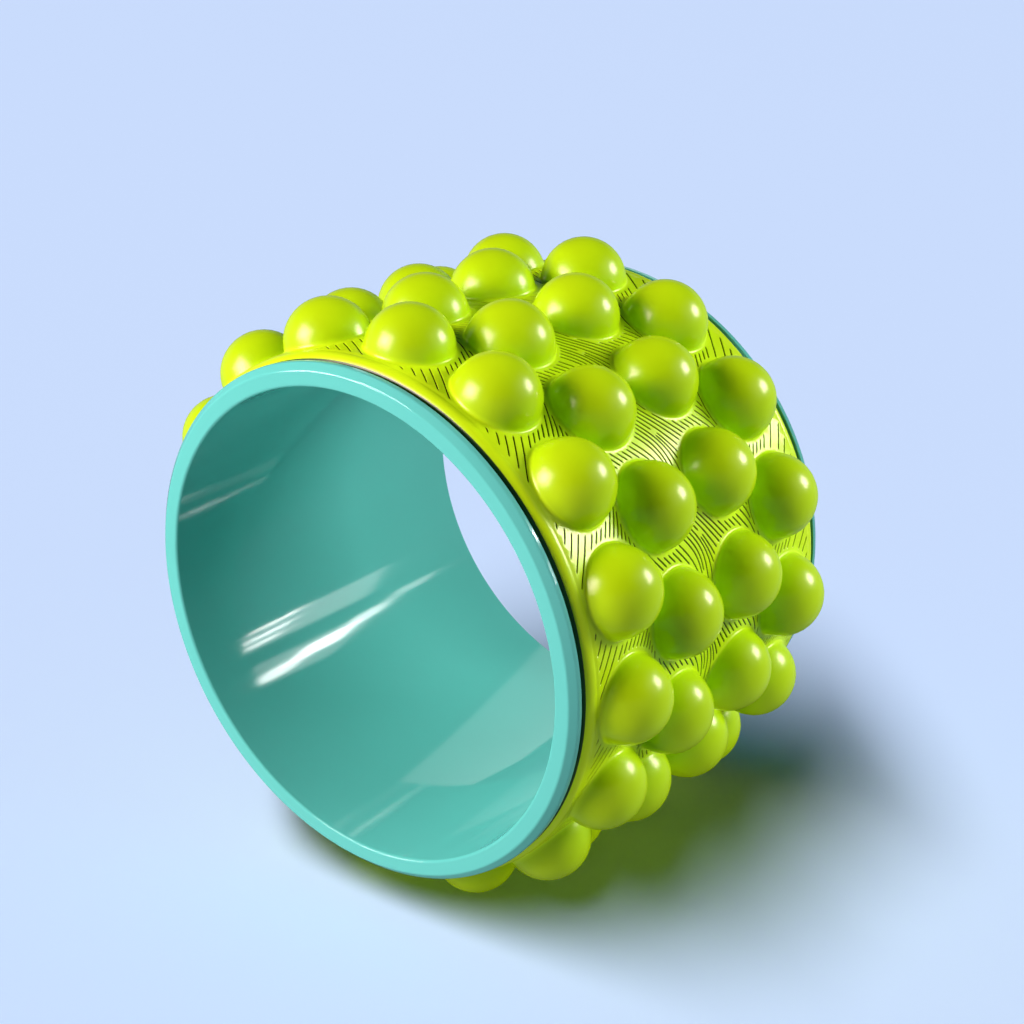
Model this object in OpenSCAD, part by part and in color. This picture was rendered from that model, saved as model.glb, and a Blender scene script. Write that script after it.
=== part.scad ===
// Back roller wheel: a rigid tube with a rim at each end, and a soft sleeve of massage domes glued round it.
// All sizes are in millimetres. The origin is the wheel's centre, Y is the rolling axis and Z is up.
// From the bore outwards come the tube's wall, the glue, the sleeve's wall and the domes, 270 mm over their tips.

/* [Inner tube] */
// Width of the wheel, from one rim face to the other
wheel_w = 185; // [178:1:200]
// Diameter of the bore
bore_d = 210; // [200:0.5:218]
// Thickness of the tube's wall where the sleeve sits
tube_wall = 5.5; // [4:0.25:6.5]
// Height of each rim above the tube's wall
rim_h = 4.5; // [3.5:0.25:6]
// Width of each rim along the axis
rim_w = 5; // [4:0.25:7]
// Radius that rounds a rim's outer edge
rim_round = 2.4; // [0.8:0.1:3]
// Radius that rounds the edge between a rim's face and the bore
bore_round = 1.6; // [0.5:0.1:2.5]

/* [Sleeve] */
// Thickness of the glue between the tube and the sleeve
glue_t = 0.25; // [0.1:0.05:0.6]
// Distance that the glue stops short of each end of the sleeve
glue_back = 2; // [1:0.5:6]
// Thickness of the sleeve's wall between the domes
sleeve_wall = 6.35; // [5.5:0.05:8]
// Gap between each end of the sleeve and the rim
end_gap = 0.6; // [0.2:0.1:1.5]
// Radius of the smooth rolled bead at each end of the sleeve
bead_r = 4.4; // [3.5:0.1:5]
// Depth of a bead's crest below the sleeve's surface
bead_drop = 0.1; // [0:0.05:0.5]
// Depth of the valley between a bead and the domed field
valley_depth = 0.8; // [0.4:0.1:1.5]
// Width of the valley's flat bottom
valley_w = 0.6; // [0.3:0.1:1.5]

/* [Domes] */
// Number of domes in each row round the wheel
domes_per_row = 16; // [12:2:16]
// Height of a dome's tip above the sleeve's surface
dome_h = 17.9; // [15:0.1:19]
// Radius of a dome's ball
dome_r = 19; // [16:0.1:19.5]
// Distance from the wheel's middle plane to each inner row of domes
inner_row_y = 22.7; // [21.6:0.1:23.6]
// Distance from the wheel's middle plane to each outer row of domes
outer_row_y = 59; // [57.5:0.1:60]
// Height of the flared foot round each dome
foot_h = 2.4; // [1.2:0.2:3.4]
// Outward flare of the foot for each millimetre of height
foot_flare = 0.5; // [0.3:0.05:0.6]

/* [Hidden] */
bore_r = bore_d / 2;
seat_r = bore_r + tube_wall;
rim_r = seat_r + rim_h;
half_w = wheel_w / 2;
seat_half = half_w - rim_w;
sleeve_half = seat_half - end_gap;
sleeve_in_r = seat_r + glue_t;
field_r = sleeve_in_r + sleeve_wall;
// The bead rolls over to the sleeve's end on one side and runs down to the valley on the other
bead_centre_r = field_r - bead_drop - bead_r;
bead_y = sleeve_half - bead_r;
valley_r = field_r - valley_depth;
bead_back = sqrt(pow(bead_r, 2) - pow(valley_r - bead_centre_r, 2));
field_half = bead_y - bead_back - valley_w;
// The outer rows turn back and the inner rows forward by a quarter of the pitch, so that the wheel
// stands on four domes, two on each side of its lowest line
pitch = 360 / domes_per_row;
row_turn = pitch / 4;
dome_centre_r = field_r + dome_h - dome_r;
// The foot's cone starts inside the ball and runs down below the curved field
foot_top_r = field_r + foot_h;
foot_sunk = 3;
foot_in = 0.25;
// Distance that a cutting shape runs past what it cuts
past = 1;
$fn = 96;

// The corner outside a quarter circle, for rounding the corner of a section
module corner_outside(r) {
    difference() {
        square([r + past, r + past]);
        circle(r);
    }
}

// Spins a section, drawn as radius across and axis up, round the wheel's Y axis
module spin_on_y() {
    rotate([-90, 0, 0])
        rotate_extrude($fn = 240)
            children();
}

// Half of the tube's section, from the middle plane to one rim face
module half_tube_section() {
    difference() {
        translate([bore_r, 0])
            square([rim_r - bore_r, half_w]);
        translate([seat_r, -past])
            square([rim_h + past, seat_half + past]);
        translate([rim_r - rim_round, half_w - rim_round])
            corner_outside(rim_round);
        translate([bore_r + bore_round, half_w - bore_round])
            mirror([1, 0])
                corner_outside(bore_round);
    }
}

// Rigid moulded tube with an outward rim at each end, which keeps the sleeve in place
module inner_tube() {
    color([0.36, 0.73, 0.69])
        spin_on_y() {
            half_tube_section();
            mirror([0, 1])
                half_tube_section();
        }
}

// Film of glue that holds the sleeve on the tube's seat
module glue_film() {
    glue_half = sleeve_half - glue_back;
    color([0.90, 0.87, 0.72])
        spin_on_y()
            translate([seat_r, -glue_half])
                square([glue_t, 2 * glue_half]);
}

// Section of the sleeve's wall with a bead at each end and the domed field between them
module sleeve_section() {
    intersection() {
        union() {
            translate([0, -sleeve_half])
                square([bead_centre_r, 2 * sleeve_half]);
            translate([0, -bead_y])
                square([valley_r, 2 * bead_y]);
            translate([0, -field_half])
                square([field_r, 2 * field_half]);
            for (side = [-1, 1])
                translate([bead_centre_r, side * bead_y])
                    circle(bead_r);
        }
        translate([sleeve_in_r, -half_w])
            square([sleeve_wall + past, wheel_w]);
    }
}

// Section of a dome, with its own axis up: a ball that stands out of the field on a flared foot
module dome_section() {
    ball_at_foot = sqrt(pow(dome_r, 2) - pow(foot_top_r - dome_centre_r, 2));
    cone_top = ball_at_foot - foot_in;
    cone_h = foot_h + foot_sunk;
    cone_foot = cone_top + cone_h * foot_flare;
    intersection() {
        union() {
            translate([0, dome_centre_r])
                circle(dome_r);
            translate([0, field_r - foot_sunk])
                polygon([[0, 0], [cone_foot, 0], [cone_top, cone_h], [0, cone_h]]);
        }
        translate([0, field_r - foot_sunk])
            square([cone_foot + past, foot_sunk + dome_h + past]);
    }
}

// One massage dome along +X
module dome() {
    rotate([0, 90, 0])
        rotate_extrude()
            dome_section();
}

// One row of domes round the wheel, at a distance along the axis and a turn in degrees
module dome_row(y, turn) {
    for (i = [0 : domes_per_row - 1])
        rotate([0, -(i * pitch + turn), 0])
            translate([0, y, 0])
                dome();
}

// Soft moulded sleeve with its domes: the outer rows lie half a pitch round from the inner rows
module massage_sleeve() {
    color([0.69, 0.86, 0.05]) union() {
        spin_on_y()
            sleeve_section();
        for (side = [-1, 1]) {
            dome_row(side * outer_row_y, -row_turn);
            dome_row(side * inner_row_y, row_turn);
        }
    }
}

inner_tube();
glue_film();
massage_sleeve();
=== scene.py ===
# Back roller wheel: a glossy rigid tube with a rim at each end, in a soft lime sleeve of massage domes.
# Lengths are in millimetres up to the point where a mesh is made, then in metres.
# Y is the wheel's axis, r a radius from it, theta a turn round it, and u a length round the sleeve's wall.
import math

import bmesh
import bpy
import numpy as np
from mathutils import Matrix, Vector
from mathutils.geometry import delaunay_2d_cdt

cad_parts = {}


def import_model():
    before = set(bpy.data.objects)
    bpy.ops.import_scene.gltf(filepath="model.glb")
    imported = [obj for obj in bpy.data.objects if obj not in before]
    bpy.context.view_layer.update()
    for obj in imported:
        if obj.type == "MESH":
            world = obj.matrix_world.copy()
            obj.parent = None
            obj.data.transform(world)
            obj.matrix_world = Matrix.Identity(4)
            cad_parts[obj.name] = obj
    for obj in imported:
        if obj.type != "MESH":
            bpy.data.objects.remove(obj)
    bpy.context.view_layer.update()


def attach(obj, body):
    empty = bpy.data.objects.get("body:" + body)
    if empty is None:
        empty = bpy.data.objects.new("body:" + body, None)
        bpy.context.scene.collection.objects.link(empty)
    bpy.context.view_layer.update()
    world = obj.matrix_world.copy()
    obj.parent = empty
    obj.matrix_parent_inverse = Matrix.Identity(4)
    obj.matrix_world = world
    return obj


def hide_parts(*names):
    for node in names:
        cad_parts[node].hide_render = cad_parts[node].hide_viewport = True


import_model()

MM = 0.001

# Sizes of the sleeve
FIELD_R = 117.1
SLEEVE_IN_R = 110.75
SLEEVE_HALF = 85.4
BEAD_R = 4.4
BEAD_Y = 81.0
BEAD_CENTRE_R = 112.5
# Distance from the middle plane beyond which a bead's flank takes the grooves' dark colour: painted shade
# for the gap beside the rim
CREASE_SHADE_Y = 84.9
DOMES_PER_ROW = 16
DOME_CENTRE_R = 116.0
DOME_R = 19.0
INNER_ROW_Y = 22.7
OUTER_ROW_Y = 59.0
PITCH = 2 * math.pi / DOMES_PER_ROW
ROW_TURN = PITCH / 4
ARC = FIELD_R * PITCH
ARC_TURN = FIELD_R * ROW_TURN

# The domes' rows: distance along the axis, and place round the wheel along the unrolled surface
ROWS = [
    (-OUTER_ROW_Y, -ARC_TURN),
    (-INNER_ROW_Y, ARC_TURN),
    (INNER_ROW_Y, ARC_TURN),
    (OUTER_ROW_Y, -ARC_TURN),
]

# Ring of points where a dome's foot meets the wall, and the edges of the grooved wall
RING_R = 20.1
RING_N = 48
FIELD_HALF = 79.45
EDGE_N = 20 * DOMES_PER_ROW

# Lean of the grooves from the rolling direction, outside and inside the line between the rows
ROW_EDGE_Y = 39.0
ROW_EDGE_SOFT = 3.0
OUTER_LEAN = math.radians(36)
INNER_LEAN = math.radians(38)
# Patch in the middle of the wheel where the grooves run straight: centre and reach along y and u
STRAIGHT_Y = -1.0
STRAIGHT_U = ARC_TURN + 10
STRAIGHT_REACH_Y = 8.0
STRAIGHT_REACH_U = 12.0
# How far from a ring the grooves bend round the dome, and how fast that fades
BEND_REACH = 14.0
BEND_FADE = 1.6
# Distance between grooves, which widens towards the wheel's ends
SPACING = 2.35
SPACING_MORE = 0.75
SPACING_FROM_Y = 55.0
SPACING_OVER_Y = 22.0
# Gaps from the wall's edge and from the rings: of a groove's course, of its bottom, and of its lips
EDGE_GAP = 0.6
COURSE_GAP = 0.12
MID_GAP = 0.35
LIP_GAP = 0.12
# Tracing: step, most points each way, and the shares of the spacing that stop or allow a groove
TRACE_STEP = 0.5
TRACE_MOST = 400
STOP_SHARE = 0.6
OWN_SHARE = 0.7
START_SHARE = 0.97
BESIDE_SHARE = 1.005
# Points just made that a groove's test against its own course leaves out
OWN_SKIP = 12
FEWEST_POINTS = 10
KEPT_MOST = 20000
GRID_STEP = 1.5
GRID_HALF = 77.5
# Section of a groove, and its shallower, narrower ends
GROOVE_HALF = 0.45
GROOVE_DEPTH = 0.7
GROOVE_STEP = 1.3
TAPER = 0.9
END_WIDTH = 0.35

# Rings of a dome, and its foot: height on the ball, and pull of the fillet's curve at each end
DOME_RINGS = 10
FOOT_RINGS = 3
FOOT_TOP = 2.0
FOOT_PULL_LOW = 1.0
FOOT_PULL_HIGH = 1.1

# Arc of a bead in degrees, the steps along it, and the small slope at the sleeve's inner edge
BEAD_START = -12
BEAD_SWEEP = 102
BEAD_STEPS = 12
INNER_SLOPE = 0.4

# Sizes of the tube: the rim's bevel runs from its outside at BEVEL_Y to its face at BEVEL_R
BORE_R = 105.0
SEAT_R = 110.5
RIM_R = 115.0
HALF_W = 92.5
SEAT_HALF = 87.5
BEVEL_R = 112.0
BEVEL_Y = 89.7
BEVEL_SOFT = 0.7
BORE_ROUND = 1.3
SEAT_ROUND = 0.5
RIM_BACK_ROUND = 0.3
# Extra points that keep the shading flat beside the bore's rounding: on the face, and in the bore
FACE_POINT = 0.8
BORE_POINT = 4.0
TUBE_N = 384

# Colours: darker and lighter pair for the mottled materials
BALL_COLOURS = ((0.42, 0.735, 0.003), (0.46, 0.775, 0.004))
# The wall's pair is a paler copy of the domes' lime: painted light
WALL_LIGHT_COLOURS = ((0.53, 0.88, 0.006), (0.57, 0.92, 0.008))
TUBE_COLOURS = ((0.134, 0.555, 0.490), (0.146, 0.58, 0.515))
GLUE_COLOURS = ((0.70, 0.66, 0.42), (0.84, 0.80, 0.58))
# Painted shade at the bottom of the grooves and on the beads' flanks by the rim
GROOVE_SHADE_COLOUR = (0.01, 0.05, 0.0, 1)
SLEEVE_GLOSS_TINT = (0.97, 1.0, 0.88, 1)
# Radii in metres between which the wall's paler colour, painted light, turns into the domes' colour
WALL_LIGHT_R = 0.1174
BALL_COLOUR_R = 0.1196

# Floor and surround: the colour that the camera sees, and its levels in gloss and as light
PALE = (0.592, 0.722, 0.990, 1)
OVERHEAD = (0.06, 0.065, 0.07)
IN_GLOSS = 0.30
AS_LIGHT = 0.08
FILL = 0.03
FLOOR_Z = -134.5
FLOOR_HALF_M = 40.0

# Lamps
LAMP_DISTANCE = 1.6
PLAIN = (1, 1, 1)
WARM = (1.0, 0.76, 0.72)
CREAM = (1.0, 0.86, 0.80)
FLOOR_LAMP_PLACE = (-4, -112, 200)
FLOOR_LAMP_TURN = math.radians(135)

# Camera
CAM_POS = Vector((515.4, -621.95, 356.05))
CAM_RIGHT = Vector((0.78639, 0.61679, -0.03395))
CAM_UP = Vector((-0.21209, 0.32122, 0.92295))
CAM_BACK = Vector((0.58018, -0.7186, 0.38342))
CAM_LENS = 69.026
CAM_SENSOR = 36


# The grooves' courses

def smooth(x):
    x = np.clip(x, 0.0, 1.0)
    return x * x * (3 - 2 * x)


def wrap(u):
    return (u + ARC / 2) % ARC - ARC / 2


def groove_dir(y, u):
    """Unit direction of the grooves at a place on the unrolled surface, always climbing."""
    rise = np.tanh((y + ROW_EDGE_Y) / ROW_EDGE_SOFT)
    fall = np.tanh((y - ROW_EDGE_Y) / ROW_EDGE_SOFT)
    inner = 0.5 * (rise - fall)
    off_y = (y - STRAIGHT_Y) / STRAIGHT_REACH_Y
    off_u = wrap(u - STRAIGHT_U) / STRAIGHT_REACH_U
    straight = math.exp(-off_y ** 2 - off_u ** 2)
    lean = OUTER_LEAN * (1 - inner) - INNER_LEAN * (1 - straight) * inner
    vy = math.sin(lean)
    vu = math.cos(lean)
    for row_y, row_u in ROWS:
        dy = y - row_y
        du = wrap(u - row_u)
        r = math.hypot(dy, du)
        if r < 1e-6 or r > RING_R + BEND_REACH:
            continue
        side = dy / r
        ty = -du / r
        tu = dy / r
        if tu < 0:
            ty = -ty
            tu = -tu
        w = math.exp(-max(r - RING_R, 0) / BEND_FADE) * side ** 4
        vy = vy * (1 - w) + ty * w
        vu = vu * (1 - w) + tu * w
    n = math.hypot(vy, vu)
    return vy / n, vu / n


def spacing(y):
    return SPACING + SPACING_MORE * float(smooth((abs(y) - SPACING_FROM_Y) / SPACING_OVER_Y))


def open_field(y, u):
    """Whether a groove may pass here: clear of the wall's edges and of every dome's ring."""
    if abs(y) > FIELD_HALF - EDGE_GAP:
        return False
    for row_y, row_u in ROWS:
        if math.hypot(y - row_y, wrap(u - row_u)) < RING_R + COURSE_GAP:
            return False
    return True


class Kept:
    """Points of the grooves made so far, with the place round the wheel wrapped to one pitch."""

    def __init__(self):
        self.y = np.empty(KEPT_MOST)
        self.u = np.empty(KEPT_MOST)
        self.n = 0

    def add(self, pts):
        k = len(pts)
        self.y[self.n:self.n + k] = [p[0] for p in pts]
        self.u[self.n:self.n + k] = [p[1] for p in pts]
        self.n += k

    def near(self, y, u):
        """Distance to the nearest kept point, or a very large one when there is none."""
        if not self.n:
            return 1e9
        dy = self.y[:self.n] - y
        du = (self.u[:self.n] - u + ARC / 2) % ARC - ARC / 2
        return math.sqrt(float(np.min(dy * dy + du * du)))


def trace(y, u, kept):
    """Course of one groove, followed both ways from a place until something stops it."""
    parts = []
    for sign in (1, -1):
        step = sign * TRACE_STEP
        cy, cu = y, u
        pts = []
        while len(pts) < TRACE_MOST:
            vy, vu = groove_dir(cy, cu)
            vy, vu = groove_dir(cy + vy * step / 2, cu + vu * step / 2)
            cy, cu = cy + vy * step, cu + vu * step
            if not open_field(cy, cu) or kept.near(cy, cu) < STOP_SHARE * spacing(cy):
                break
            own = pts[:-OWN_SKIP]
            if own and len(pts) % 4 == 0:
                oy = np.array([p[0] for p in own]) - cy
                ou = (np.array([p[1] for p in own]) - cu + ARC / 2) % ARC - ARC / 2
                if float(np.min(oy * oy + ou * ou)) < (OWN_SHARE * spacing(cy)) ** 2:
                    break
            pts.append((cy, cu))
        parts.append(pts)
    return parts[1][::-1] + [(y, u)] + parts[0]


def beside(line):
    """Places one spacing to each side of a groove, where the next ones may start."""
    places = []
    for y, u in line[::3]:
        vy, vu = groove_dir(y, u)
        s = spacing(y) * BESIDE_SHARE
        places.append((y + vu * s, u - vy * s))
        places.append((y - vu * s, u + vy * s))
    return places


def make_grooves():
    """Grooves of one pitch: each starts beside an earlier one, and a grid of places fills the rest."""
    kept = Kept()
    lines = []
    seeds = [(0.0, ARC_TURN + ARC / 2)]
    grid_u = np.arange(-ARC / 2, ARC / 2, GRID_STEP)
    grid_y = np.arange(-GRID_HALF, GRID_HALF + 0.5, GRID_STEP)
    grid = [(y, u) for u in grid_u for y in grid_y]
    done = 0
    while True:
        for y, u in seeds:
            if not open_field(y, u) or kept.near(y, u) < START_SHARE * spacing(y):
                continue
            pts = trace(y, u, kept)
            if len(pts) < FEWEST_POINTS:
                continue
            lines.append(np.array(pts))
            kept.add(pts)
        if done < len(lines):
            seeds = beside(lines[done])
            done += 1
        elif grid:
            seeds = grid
            grid = []
        else:
            return lines


def clear_of_rings(y, u, gap):
    """The place itself, or the nearest one that keeps a gap from the rings round the domes."""
    for row_y, row_u in ROWS:
        dy = y - row_y
        du = wrap(u - row_u)
        r = math.hypot(dy, du)
        if r < RING_R + gap:
            grow = (RING_R + gap) / r - 1
            return y + dy * grow, u + du * grow
    return y, u


def resample(line, gap):
    """Even points along a groove's course, and the length from its start to each of them."""
    seg = np.hypot(*np.diff(line, axis=0).T)
    s = np.concatenate([[0], np.cumsum(seg)])
    n = max(4, int(round(s[-1] / gap)) + 1)
    t = np.linspace(0, s[-1], n)
    return np.stack([np.interp(t, s, line[:, 0]), np.interp(t, s, line[:, 1])], 1), t


# The sleeve

class Mesh:
    def __init__(self):
        self.co = []
        self.depth = []
        self.tris = []
        self.crisp = set()

    def add(self, co, depth=0.0):
        self.co.append(tuple(co))
        self.depth.append(depth)
        return len(self.co) - 1

    def vert(self, r, y, theta, depth=0.0):
        return self.add((r * math.cos(theta), y, r * math.sin(theta)), depth)

    def strip(self, low, high):
        """Triangles between two closed rings that have the same number of points."""
        n = len(low)
        for i in range(n):
            k = (i + 1) % n
            self.tris.append((low[i], low[k], high[k]))
            self.tris.append((low[i], high[k], high[i]))


def closed(ring):
    """Edges of a closed ring of points."""
    return list(zip(ring, ring[1:] + ring[:1]))


def field_mesh(m):
    """Grooved wall of the sleeve between the domes, with a ring of points round each dome."""
    # Places on a flat plan that keeps angles, where a turn round the wheel is a turn round the origin
    plan = []
    edges = []
    # For each place, its point in the mesh, and which ring it lies on: 0 is none
    index = []
    tag = []

    def put(y, u, depth, ring_tag):
        theta = u / FIELD_R
        rho = math.exp(y / FIELD_R)
        plan.append(Vector((rho * math.cos(theta), rho * math.sin(theta))))
        index.append(m.vert(FIELD_R - depth, y, theta, depth))
        tag.append(ring_tag)
        return len(plan) - 1

    sides = {}
    for side in (-1, 1):
        ring = [put(side * FIELD_HALF, ARC * DOMES_PER_ROW * i / EDGE_N, 0, side) for i in range(EDGE_N)]
        edges += closed(ring)
        sides[side] = [index[i] for i in ring]
    domes = []
    for row_y, row_u in ROWS:
        for k in range(DOMES_PER_ROW):
            u0 = row_u + k * ARC
            ring = []
            for i in range(RING_N):
                b = 2 * math.pi * i / RING_N
                ring.append(put(row_y + RING_R * math.cos(b), u0 + RING_R * math.sin(b), 0, 10 + len(domes)))
            edges += closed(ring)
            domes.append((row_y, u0 / FIELD_R, [index[i] for i in ring]))
    for line in make_grooves():
        pts, s = resample(line, GROOVE_STEP)
        tang = np.gradient(pts, axis=0)
        tang /= np.hypot(tang[:, 0], tang[:, 1])[:, None]
        taper = smooth(np.minimum(s, s[-1] - s) / TAPER)
        for k in range(DOMES_PER_ROW):
            shift = k * ARC
            mid = []
            left = []
            right = []
            for i in range(len(pts)):
                y, u = clear_of_rings(*pts[i], MID_GAP)
                mid.append(put(y, u + shift, GROOVE_DEPTH * taper[i], 0))
                if 0 < i < len(pts) - 1:
                    w = GROOVE_HALF * (END_WIDTH + (1 - END_WIDTH) * taper[i])
                    across_y = -tang[i, 1] * w
                    across_u = tang[i, 0] * w
                    ly, lu = clear_of_rings(y + across_y, u + across_u, LIP_GAP)
                    ry, ru = clear_of_rings(y - across_y, u - across_u, LIP_GAP)
                    left.append(put(ly, lu + shift, 0, 0))
                    right.append(put(ry, ru + shift, 0, 0))
            edges += list(zip(mid[:-1], mid[1:]))
            for lip in (left, right):
                chain = [mid[0]] + lip + [mid[-1]]
                edges += list(zip(chain[:-1], chain[1:]))
                m.crisp |= {frozenset((index[a], index[b])) for a, b in zip(chain[:-1], chain[1:])}
    out_co, _, out_faces, orig, _, _ = delaunay_2d_cdt(plan, edges, [], 0, 1e-8)
    names = []
    tags = []
    for i, src in enumerate(orig):
        if src:
            names.append(index[src[0]])
            tags.append(tag[src[0]])
        else:
            rho = out_co[i].length
            theta = math.atan2(out_co[i].y, out_co[i].x)
            names.append(m.vert(FIELD_R, FIELD_R * math.log(rho), theta))
            tags.append(0)
    for face in out_faces:
        t = [tags[i] for i in face]
        # A face with all its corners on one ring lies inside that ring, where there is no wall
        if t[0] != 0 and t[0] == t[1] == t[2]:
            continue
        m.tris.append(tuple(names[i] for i in face))
    return sides, domes


def dome_mesh(m, row_y, theta0, ring):
    """One dome: a ball that meets the wall in a small hollow fillet."""
    up = Vector((math.cos(theta0), 0, math.sin(theta0)))
    across = Vector((0, 1, 0))
    along = Vector((-math.sin(theta0), 0, math.cos(theta0)))
    centre = up * DOME_CENTRE_R + across * row_y
    rings = [ring]
    feet = []
    for i in range(RING_N):
        b = 2 * math.pi * i / RING_N
        out = across * math.cos(b) + along * math.sin(b)
        low = Vector(m.co[ring[i]])
        # Polar angle at which the ball stands FOOT_TOP above the curved wall, by halving
        lo, hi = math.radians(60), math.radians(100)
        for _ in range(30):
            g = (lo + hi) / 2
            p = centre + (up * math.cos(g) + out * math.sin(g)) * DOME_R
            if math.hypot(p.x, p.z) - FIELD_R > FOOT_TOP:
                lo = g
            else:
                hi = g
        high = centre + (up * math.cos(g) + out * math.sin(g)) * DOME_R
        down_ball = -up * math.sin(g) + out * math.cos(g)
        radial = Vector((low.x, 0, low.z)).normalized()
        along_wall = out - radial * out.dot(radial)
        along_wall.normalize()
        feet.append((g, out, high, down_ball, low, along_wall))
    for j in range(1, FOOT_RINGS + 1):
        s = j / (FOOT_RINGS + 1)
        row = []
        for g, out, high, down_ball, low, along_wall in feet:
            c1 = low - along_wall * FOOT_PULL_LOW
            c2 = high + down_ball * FOOT_PULL_HIGH
            q = low * (1 - s) ** 3 + c1 * 3 * s * (1 - s) ** 2 + c2 * 3 * s * s * (1 - s) + high * s ** 3
            row.append(m.add(q))
        rings.append(row)
    for j in range(DOME_RINGS):
        row = []
        for g, out, high, down_ball, low, along_wall in feet:
            a = g * (1 - j / DOME_RINGS)
            row.append(m.add(centre + (up * math.cos(a) + out * math.sin(a)) * DOME_R))
        rings.append(row)
    tip = m.add(centre + up * DOME_R)
    for low_row, high_row in zip(rings[:-1], rings[1:]):
        m.strip(low_row, high_row)
    for a, b in closed(rings[-1]):
        m.tris.append((a, b, tip))


def end_profile():
    """Radius and distance from the middle plane, from the field's edge over the bead to the inside."""
    pts = []
    for i in range(BEAD_STEPS + 1):
        a = math.radians(BEAD_START + BEAD_SWEEP * i / BEAD_STEPS)
        pts.append((BEAD_CENTRE_R + BEAD_R * math.cos(a), BEAD_Y + BEAD_R * math.sin(a)))
    pts.append((SLEEVE_IN_R + INNER_SLOPE, SLEEVE_HALF))
    pts.append((SLEEVE_IN_R, SLEEVE_HALF - INNER_SLOPE))
    return pts


def new_object(name, verts, faces):
    """A smooth-shaded object in the scene."""
    mesh = bpy.data.meshes.new(name)
    mesh.from_pydata(verts, [], faces)
    mesh.polygons.foreach_set("use_smooth", [True] * len(mesh.polygons))
    obj = bpy.data.objects.new(name, mesh)
    bpy.context.scene.collection.objects.link(obj)
    return obj


def sleeve():
    """Sleeve with its domes, grooves and beads, and a groove attribute that is 1 at a groove's bottom and on
    the beads' flanks by the rim, a mask for painted shade.
    """
    m = Mesh()
    sides, domes = field_mesh(m)
    for row_y, theta0, ring in domes:
        dome_mesh(m, row_y, theta0, ring)
    inner = {}
    for side in (-1, 1):
        prev = sides[side]
        for r, y in end_profile():
            # Beyond this distance the bead's flank gets the groove attribute's full value with no real
            # depth: painted shade for the gap beside the rim
            depth = GROOVE_DEPTH if y > CREASE_SHADE_Y else 0.0
            row = [m.vert(r, side * y, 2 * math.pi * i / EDGE_N, depth) for i in range(EDGE_N)]
            m.strip(prev, row)
            prev = row
        inner[side] = prev
    m.strip(inner[-1], inner[1])
    obj = new_object("massage_sleeve_skin", [tuple(c) for c in np.array(m.co) * MM], m.tris)
    att = obj.data.attributes.new("groove", "FLOAT", "POINT")
    att.data.foreach_set("value", np.array(m.depth, dtype=np.float32) / GROOVE_DEPTH)
    bm = bmesh.new()
    bm.from_mesh(obj.data)
    bm.verts.ensure_lookup_table()
    for e in bm.edges:
        if frozenset((e.verts[0].index, e.verts[1].index)) in m.crisp:
            e.smooth = False
    loose = [v for v in bm.verts if not v.link_faces]
    bmesh.ops.delete(bm, geom=loose, context="VERTS")
    bmesh.ops.recalc_face_normals(bm, faces=bm.faces)
    bm.to_mesh(obj.data)
    bm.free()
    return obj


# The tube

def corner(r, y, radius, start, n):
    """Quarter circle of n steps round a centre, from a starting angle in degrees."""
    pts = []
    for i in range(n + 1):
        a = math.radians(start + 90 * i / n)
        pts.append((r + radius * math.cos(a), y + radius * math.sin(a)))
    return pts


def soft_turn(before, at, after, reach):
    """Points of a rounded turn at a profile's corner, starting and ending a distance from it."""
    at = Vector(at)
    start = at + (Vector(before) - at).normalized() * reach
    end = at + (Vector(after) - at).normalized() * reach
    pts = []
    for i in range(6):
        s = i / 5
        q = start * (1 - s) ** 2 + at * 2 * s * (1 - s) + end * s * s
        pts.append((q.x, q.y))
    return pts


def half_tube_profile():
    """Radius and distance from the middle plane, from the seat over the rim and down into the bore."""
    bevel_out = (RIM_R, BEVEL_Y)
    bevel_in = (BEVEL_R, HALF_W)
    root = SEAT_ROUND
    back = RIM_BACK_ROUND
    pts = [(SEAT_R, SEAT_HALF - root)]
    pts += [(SEAT_R + root - root * math.cos(a), SEAT_HALF - root + root * math.sin(a)) for a in (0.5, 1.1)]
    pts += [(SEAT_R + root, SEAT_HALF)]
    pts += corner(RIM_R - back, SEAT_HALF + back, back, -90, 4)
    pts += soft_turn((RIM_R, SEAT_HALF), bevel_out, bevel_in, BEVEL_SOFT)
    pts += soft_turn(bevel_out, bevel_in, (BORE_R, HALF_W), BEVEL_SOFT)
    pts += [(BORE_R + BORE_ROUND + FACE_POINT, HALF_W)]
    pts += corner(BORE_R + BORE_ROUND, HALF_W - BORE_ROUND, BORE_ROUND, 90, 7)
    pts += [(BORE_R, HALF_W - BORE_POINT)]
    return pts


def tube():
    """Rigid tube with a bevelled rim at each end."""
    half = half_tube_profile()
    profile = half + [(r, -y) for r, y in reversed(half)]
    n = len(profile)
    verts = []
    faces = []
    for i in range(TUBE_N):
        a = 2 * math.pi * i / TUBE_N
        verts += [(r * math.cos(a) * MM, y * MM, r * math.sin(a) * MM) for r, y in profile]
        here = i * n
        there = (i + 1) % TUBE_N * n
        for j in range(n):
            k = (j + 1) % n
            faces.append((here + j, here + k, there + k, there + j))
    obj = new_object("inner_tube_shell", verts, faces)
    bm = bmesh.new()
    bm.from_mesh(obj.data)
    bmesh.ops.recalc_face_normals(bm, faces=bm.faces)
    bm.to_mesh(obj.data)
    bm.free()
    weighted = obj.modifiers.new("normals", "WEIGHTED_NORMAL")
    weighted.keep_sharp = False
    return obj


# Materials

def material(name):
    mat = bpy.data.materials.new(name)
    mat.use_nodes = True
    nt = mat.node_tree
    nt.nodes.clear()
    out = nt.nodes.new("ShaderNodeOutputMaterial")
    bsdf = nt.nodes.new("ShaderNodeBsdfPrincipled")
    nt.links.new(bsdf.outputs[0], out.inputs[0])
    return mat, nt, bsdf


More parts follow.
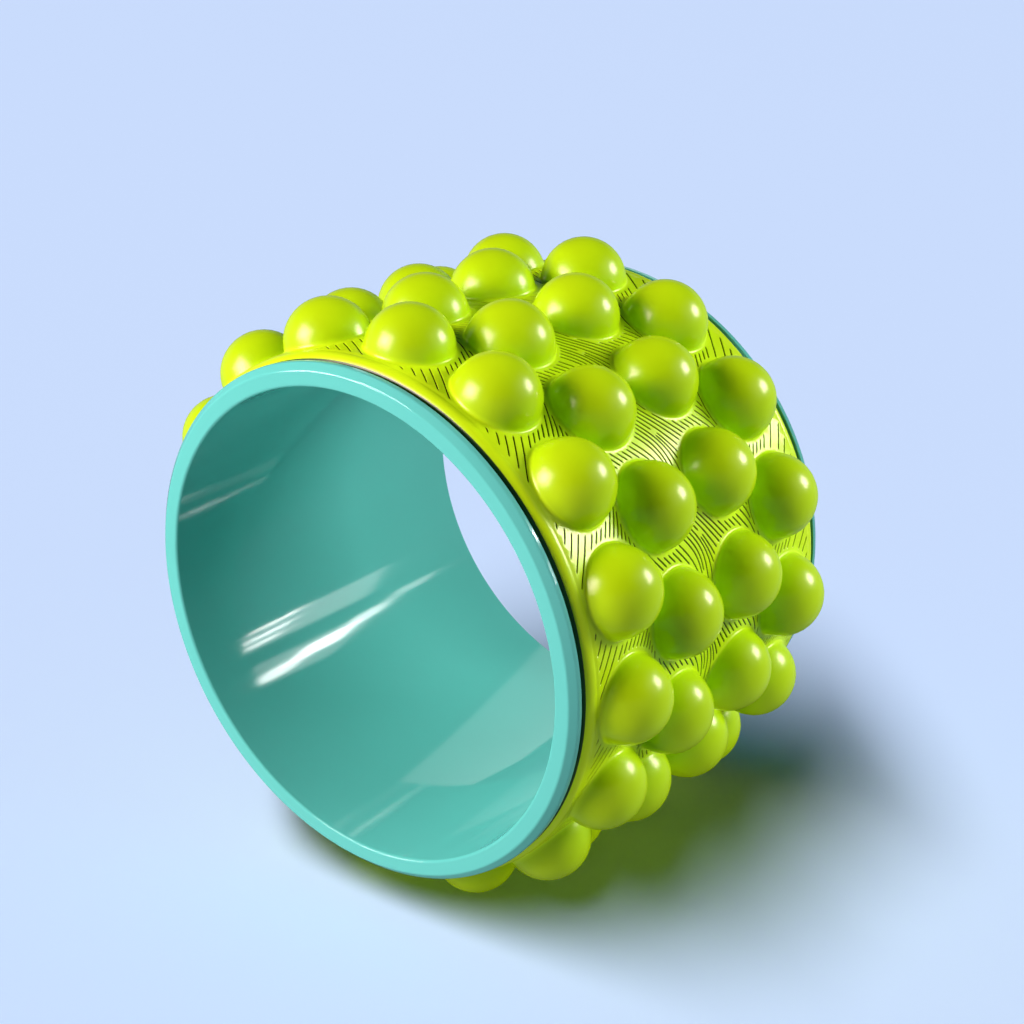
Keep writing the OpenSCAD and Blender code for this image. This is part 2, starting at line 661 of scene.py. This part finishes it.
def object_coord(nt):
    return nt.nodes.new("ShaderNodeTexCoord").outputs["Object"]


def noise(nt, coord, scale, detail):
    n = nt.nodes.new("ShaderNodeTexNoise")
    n.inputs["Scale"].default_value = scale
    n.inputs["Detail"].default_value = detail
    n.inputs["Roughness"].default_value = 0.5
    nt.links.new(coord, n.inputs["Vector"])
    return n.outputs["Fac"]


def ramp(nt, fac, stops):
    r = nt.nodes.new("ShaderNodeValToRGB")
    for e, (pos, col) in zip(r.color_ramp.elements, stops):
        e.position = pos
        e.color = (*col, 1)
    nt.links.new(fac, r.inputs["Fac"])
    return r.outputs["Color"]


def mottled(nt, fac, colours):
    dark, light = colours
    return ramp(nt, fac, [(0.3, dark), (0.7, light)])


def spread(nt, value, to_lo, to_hi):
    """The value with 0 to 1 turned into another range."""
    n = nt.nodes.new("ShaderNodeMapRange")
    n.inputs["To Min"].default_value = to_lo
    n.inputs["To Max"].default_value = to_hi
    nt.links.new(value, n.inputs["Value"])
    return n.outputs["Result"]


def part_way(nt, value, from_lo, from_hi):
    """How far the value has come from one level to another, from 0 to 1."""
    n = nt.nodes.new("ShaderNodeMapRange")
    n.inputs["From Min"].default_value = from_lo
    n.inputs["From Max"].default_value = from_hi
    nt.links.new(value, n.inputs["Value"])
    return n.outputs["Result"]


def blend(nt, fac, first, second):
    """Mix of two colours, each a colour socket or a plain colour."""
    mix = nt.nodes.new("ShaderNodeMix")
    mix.data_type = "RGBA"
    nt.links.new(fac, mix.inputs["Factor"])
    for socket, colour in ((mix.inputs[6], first), (mix.inputs[7], second)):
        if isinstance(colour, tuple):
            socket.default_value = colour
        else:
            nt.links.new(colour, socket)
    return mix.outputs[2]


def bump(nt, bsdf, height, strength, distance):
    b = nt.nodes.new("ShaderNodeBump")
    b.inputs["Strength"].default_value = strength
    b.inputs["Distance"].default_value = distance
    nt.links.new(height, b.inputs["Height"])
    nt.links.new(b.outputs["Normal"], bsdf.inputs["Normal"])


def axis_distance(nt, coord):
    """Distance from the wheel's axis, in metres."""
    flat = nt.nodes.new("ShaderNodeVectorMath")
    flat.operation = "MULTIPLY"
    flat.inputs[1].default_value = (1, 0, 1)
    nt.links.new(coord, flat.inputs[0])
    radius = nt.nodes.new("ShaderNodeVectorMath")
    radius.operation = "LENGTH"
    nt.links.new(flat.outputs[0], radius.inputs[0])
    return radius.outputs["Value"]


def sleeve_material():
    """Glossy lime elastomer, with a paler copy of its colour on the wall as painted light, and painted shade
    in the grooves and on the beads' flanks by the rim.
    """
    mat, nt, bsdf = material("sleeve_elastomer_look")
    coord = object_coord(nt)
    mottle = noise(nt, coord, 18, 3)
    ball = mottled(nt, mottle, BALL_COLOURS)
    wall = mottled(nt, mottle, WALL_LIGHT_COLOURS)
    # Mask that turns the wall's painted light into the domes' plain lime
    up = part_way(nt, axis_distance(nt, coord), WALL_LIGHT_R, BALL_COLOUR_R)
    # The groove attribute masks the painted shade: the grooves' bottoms and the beads' flanks by the rim
    att = nt.nodes.new("ShaderNodeAttribute")
    att.attribute_name = "groove"
    groove_shade = part_way(nt, att.outputs["Fac"], 0.12, 0.5)
    base = blend(nt, groove_shade, blend(nt, up, wall, ball), GROOVE_SHADE_COLOUR)
    nt.links.new(base, bsdf.inputs["Base Color"])
    nt.links.new(spread(nt, noise(nt, coord, 60, 3), 0.21, 0.27), bsdf.inputs["Roughness"])
    bsdf.inputs["Specular IOR Level"].default_value = 0.45
    bsdf.inputs["Specular Tint"].default_value = SLEEVE_GLOSS_TINT
    bump(nt, bsdf, noise(nt, coord, 900, 3), 0.04, 0.0003)
    return mat


def tube_material():
    """Glossy blue-green plastic, with the slight waviness of a moulding."""
    mat, nt, bsdf = material("tube_plastic_look")
    coord = object_coord(nt)
    nt.links.new(mottled(nt, noise(nt, coord, 9, 3), TUBE_COLOURS), bsdf.inputs["Base Color"])
    nt.links.new(spread(nt, noise(nt, coord, 30, 3), 0.045, 0.085), bsdf.inputs["Roughness"])
    bsdf.inputs["Specular IOR Level"].default_value = 0.42
    bump(nt, bsdf, noise(nt, coord, 14, 2), 0.05, 0.0008)
    return mat


def glue_material():
    """Set contact glue, cream and uneven."""
    mat, nt, bsdf = material("glue_look")
    coord = object_coord(nt)
    nt.links.new(mottled(nt, noise(nt, coord, 70, 4), GLUE_COLOURS), bsdf.inputs["Base Color"])
    nt.links.new(spread(nt, noise(nt, coord, 110, 3), 0.45, 0.65), bsdf.inputs["Roughness"])
    bump(nt, bsdf, noise(nt, coord, 250, 4), 0.3, 0.0004)
    return mat


# Pieces

def cad_objects(node):
    return [o for o in bpy.data.objects if o.type == "MESH" and o.name.split(".")[0] == node]


skin = sleeve()
skin.data.materials.append(sleeve_material())
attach(skin, "root")
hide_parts("massage_sleeve")

shell = tube()
shell.data.materials.append(tube_material())
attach(shell, "root")
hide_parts("inner_tube")

glue = cad_objects("glue_film")
glue_look = glue_material()
for piece in glue:
    for slot in piece.material_slots:
        slot.material = glue_look


# Floor and surround

def floor():
    """Floor that looks pale to the camera, dimmer in gloss, and dimmer still as light on the object."""
    s = FLOOR_HALF_M
    z = FLOOR_Z * MM
    mesh = bpy.data.meshes.new("floor")
    mesh.from_pydata([(-s, -s, z), (s, -s, z), (s, s, z), (-s, s, z)], [], [(0, 1, 2, 3)])
    obj = bpy.data.objects.new("floor", mesh)
    bpy.context.scene.collection.objects.link(obj)
    mat, nt, bsdf = material("floor_look")
    path = nt.nodes.new("ShaderNodeLightPath")
    colour = PALE
    for kind, level in (("Is Glossy Ray", IN_GLOSS), ("Is Diffuse Ray", AS_LIGHT)):
        dimmed = (*(c * level for c in PALE[:3]), 1)
        colour = blend(nt, path.outputs[kind], colour, dimmed)
    nt.links.new(colour, bsdf.inputs["Base Color"])
    bsdf.inputs["Roughness"].default_value = 1.0
    bsdf.inputs["Specular IOR Level"].default_value = 0.0
    mesh.materials.append(mat)
    return obj


def world():
    """Surround that is pale near the horizon and dark overhead, with its levels in gloss and as light."""
    studio = bpy.data.worlds.new("studio")
    bpy.context.scene.world = studio
    studio.use_nodes = True
    nt = studio.node_tree
    nt.nodes.clear()
    coord = nt.nodes.new("ShaderNodeTexCoord")
    sep = nt.nodes.new("ShaderNodeSeparateXYZ")
    nt.links.new(coord.outputs["Generated"], sep.inputs[0])
    col = ramp(nt, sep.outputs["Z"], [(0.20, PALE[:3]), (0.42, OVERHEAD)])
    path = nt.nodes.new("ShaderNodeLightPath")

    def background(strength):
        shade = nt.nodes.new("ShaderNodeBackground")
        shade.inputs["Strength"].default_value = strength
        nt.links.new(col, shade.inputs["Color"])
        return shade.outputs[0]

    seen = background(1.0)
    for kind, strength in (("Is Glossy Ray", IN_GLOSS), ("Is Diffuse Ray", FILL)):
        mix = nt.nodes.new("ShaderNodeMixShader")
        nt.links.new(path.outputs[kind], mix.inputs[0])
        nt.links.new(seen, mix.inputs[1])
        nt.links.new(background(strength), mix.inputs[2])
        seen = mix.outputs[0]
    out = nt.nodes.new("ShaderNodeOutputWorld")
    nt.links.new(seen, out.inputs[0])


ground = floor()
world()


# Light

def compass(az, el):
    """Direction towards a lamp: azimuth in degrees from the front (-Y) towards +X, and elevation."""
    a = math.radians(az)
    e = math.radians(el)
    return Vector((math.sin(a) * math.cos(e), -math.cos(a) * math.cos(e), math.sin(e)))


def collection(name, objects):
    coll = bpy.data.collections.new(name)
    for obj in objects:
        coll.objects.link(obj)
    return coll


def softbox(name, az, el, width, height, power, targets, tint=PLAIN, matt=False):
    """Area lamp that faces the wheel's centre and lights only its targets; a matt one leaves no gloss."""
    lamp = bpy.data.lights.new(name, "AREA")
    lamp.shape = "RECTANGLE"
    lamp.size = width
    lamp.size_y = height
    lamp.energy = power
    lamp.color = tint
    obj = bpy.data.objects.new(name, lamp)
    obj.visible_camera = False
    obj.visible_glossy = not matt
    bpy.context.scene.collection.objects.link(obj)
    direction = compass(az, el).normalized()
    obj.location = direction * LAMP_DISTANCE
    obj.rotation_euler = direction.to_track_quat("Z", "Y").to_euler()
    obj.light_linking.receiver_collection = collection(name + "_lights", targets)
    return obj


soft = [skin] + glue

# The floor's lamp is far away, so that its shadow is even all over
floor_light = softbox("floor_light", 0, 90, 270, 60, 722000, [ground])
floor_light.data.shape = "ELLIPSE"
floor_light.location = FLOOR_LAMP_PLACE
floor_light.rotation_euler = (0, 0, FLOOR_LAMP_TURN)

# Azimuth, elevation, width and height in metres, power in watts
softbox("key_core", -28, 28, 0.50, 0.48, 16, soft, WARM)
softbox("key_wide", -28, 28, 1.05, 0.85, 31, soft, WARM)
softbox("back_core", 137, 20.5, 0.50, 0.46, 17, soft, CREAM)
softbox("back_wide", 124, 27, 1.30, 0.90, 13.5, soft, CREAM, matt=True)
softbox("tube_key", -28, 28, 0.40, 0.40, 10, [shell])
softbox("tube_front", -40, 5, 0.40, 0.40, 11.5, [shell])
softbox("tube_right", 120, 10, 0.50, 0.50, 13, [shell], matt=True)
softbox("tube_top", 0, 48, 0.50, 0.50, 9.5, [shell], matt=True)
softbox("tube_over", 0, 88, 0.50, 0.50, 3.5, [shell], matt=True)
softbox("tube_left", -165, 20, 0.50, 0.50, 8, [shell], matt=True)
# Seen as the pale panel at the lower right of the bore
softbox("tube_panel", -155, 32, 0.95, 0.62, 2.3, [shell])
# Small lamps that are seen as the two streaks of gloss in the bore
for number, (az, el, width, height, power) in enumerate([
    (130.2, 9.8, 0.07, 0.025, 0.15),
    (130.0, 12.4, 0.07, 0.03, 0.16),
    (130.0, 14.6, 0.06, 0.03, 0.12),
    (132.5, 12.8, 0.20, 0.19, 0.55),
    (134.3, 26.8, 0.07, 0.09, 0.4),
    (136.2, 24.4, 0.08, 0.09, 0.75),
    (138.0, 22.0, 0.06, 0.07, 0.2),
    (139.8, 19.5, 0.06, 0.05, 0.07),
    (134.5, 25.5, 0.22, 0.22, 0.55),
], start=1):
    softbox("streak_%d" % number, az, el, width, height, power, [shell])

# Lamps below the level of the floor: only the wheel's own pieces block their light
from_below = [
    softbox("under_front", 8, -40, 0.70, 0.70, 9, soft, CREAM, matt=True),
    softbox("under_right", 128, -30, 0.60, 0.60, 4.5, soft, CREAM, matt=True),
    softbox("tube_low", -4, -16, 0.50, 0.50, 10, [shell], matt=True),
    softbox("tube_glow", -39, -22, 0.90, 0.90, 8, [shell]),
]
blockers = collection("from_below_shadows", soft + [shell])
for lamp in from_below:
    lamp.light_linking.blocker_collection = blockers


# Camera

cam = bpy.data.cameras.new("camera")
cam.sensor_width = CAM_SENSOR
cam.lens = CAM_LENS
cam.clip_end = 100
cam_obj = bpy.data.objects.new("camera", cam)
bpy.context.scene.collection.objects.link(cam_obj)
rot = Matrix((CAM_RIGHT, CAM_UP, CAM_BACK)).transposed().to_4x4()
cam_obj.matrix_world = Matrix.Translation(CAM_POS * MM) @ rot
bpy.context.scene.camera = cam_obj
bpy.context.scene.view_settings.view_transform = "Standard"
